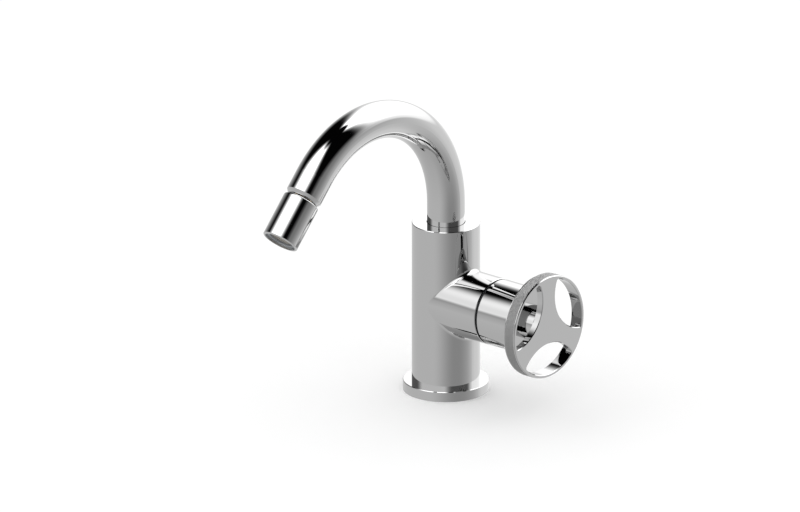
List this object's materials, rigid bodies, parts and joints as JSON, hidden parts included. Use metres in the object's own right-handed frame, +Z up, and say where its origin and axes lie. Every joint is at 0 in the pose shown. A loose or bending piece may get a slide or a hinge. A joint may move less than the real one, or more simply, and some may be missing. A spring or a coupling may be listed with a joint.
{
  "type": "bidet mixer",
  "caption": "Chrome bidet mixer with a round column, swivel arch spout, tilting ball-joint nozzle and a horizontal wheel handle on the side.",
  "frame": {"origin": "centre of the base on the deck plane, midway between the two fixing holes", "axes": "+Z up along the column, -Y the way the spout reaches at rest, +X along the branch to the wheel handle"},
  "size_m": [0.1056, 0.1851, 0.1933],
  "materials": {
    "chrome": "polished chromium plate on brass",
    "brass": "turned, unplated",
    "stainless_steel": "plain stainless steel",
    "black_rubber": "moulded black rubber",
    "white_plastic": "moulded white plastic",
    "dark_plastic": "moulded dark grey plastic",
    "grey_plastic": "moulded grey plastic",
    "ceramic": "ground ceramic",
    "fibre": "red-brown sealing fibre"
  },
  "bodies": {
    "base": {"body_casting": "chrome", "base_ring": "chrome", "base_gasket": "black_rubber", "cartridge_base": "white_plastic", "port_seals": "black_rubber", "fixed_disc": "ceramic", "cartridge_housing": "white_plastic", "cartridge_o_ring": "black_rubber", "cartridge_nut": "brass", "hub_glide_ring": "dark_plastic", "upper_glide_ring": "white_plastic", "spout_retaining_screw": "stainless_steel"},
    "handle": {"wheel": "chrome", "wheel_screw": "stainless_steel", "wheel_pin": "stainless_steel", "handle_hub": "chrome", "hub_insert": "white_plastic", "handle_grub_screw": "stainless_steel", "grub_screw_plug": "dark_plastic", "cartridge_spindle": "brass", "spindle_o_ring": "black_rubber", "disc_carrier": "white_plastic", "moving_disc": "ceramic", "thrust_washer": "white_plastic"},
    "spout": {"spout_tube": "chrome", "spout_swivel": "brass", "swivel_o_rings": "black_rubber", "lower_glide_ring": "white_plastic", "ball_socket": "brass", "socket_nut": "chrome"},
    "pitch_seat": {"upper_ball_seat": "white_plastic"},
    "roll_seat": {"lower_ball_seat": "white_plastic"},
    "nozzle": {"nozzle_shell": "chrome", "ball_stem": "brass", "stem_washer": "fibre", "stem_nut": "brass", "flow_regulator": "grey_plastic", "aerator_washer": "black_rubber", "aerator_housing": "grey_plastic", "outlet_screen": "stainless_steel", "mixing_screens": "stainless_steel"}
  },
  "joints": [
    {"name": "handle_turn", "type": "hinge", "parent": "base", "child": "handle", "pos_m": [0, 0, 0.0564], "axis": [1, 0, 0], "range_deg": [0, 110]},
    {"name": "spout_swing", "type": "hinge", "parent": "base", "child": "spout", "pos_m": [0, 0, 0.103], "axis": [0, 0, 1], "range_deg": [-60, 60]},
    {"name": "nozzle_pitch", "type": "hinge", "parent": "spout", "child": "pitch_seat", "pos_m": [0, -0.12316, 0.15395], "axis": [1, 0, 0], "range_deg": [-10, 10]},
    {"name": "nozzle_roll", "type": "hinge", "parent": "pitch_seat", "child": "roll_seat", "pos_m": [0, -0.12316, 0.15395], "axis": [0, 0.7296, -0.6839], "range_deg": [-10, 10]},
    {"name": "nozzle_spin", "type": "hinge", "parent": "roll_seat", "child": "nozzle", "pos_m": [0, -0.12316, 0.15395], "axis": [0, -0.6839, -0.7296], "continuous": true}
  ]
}
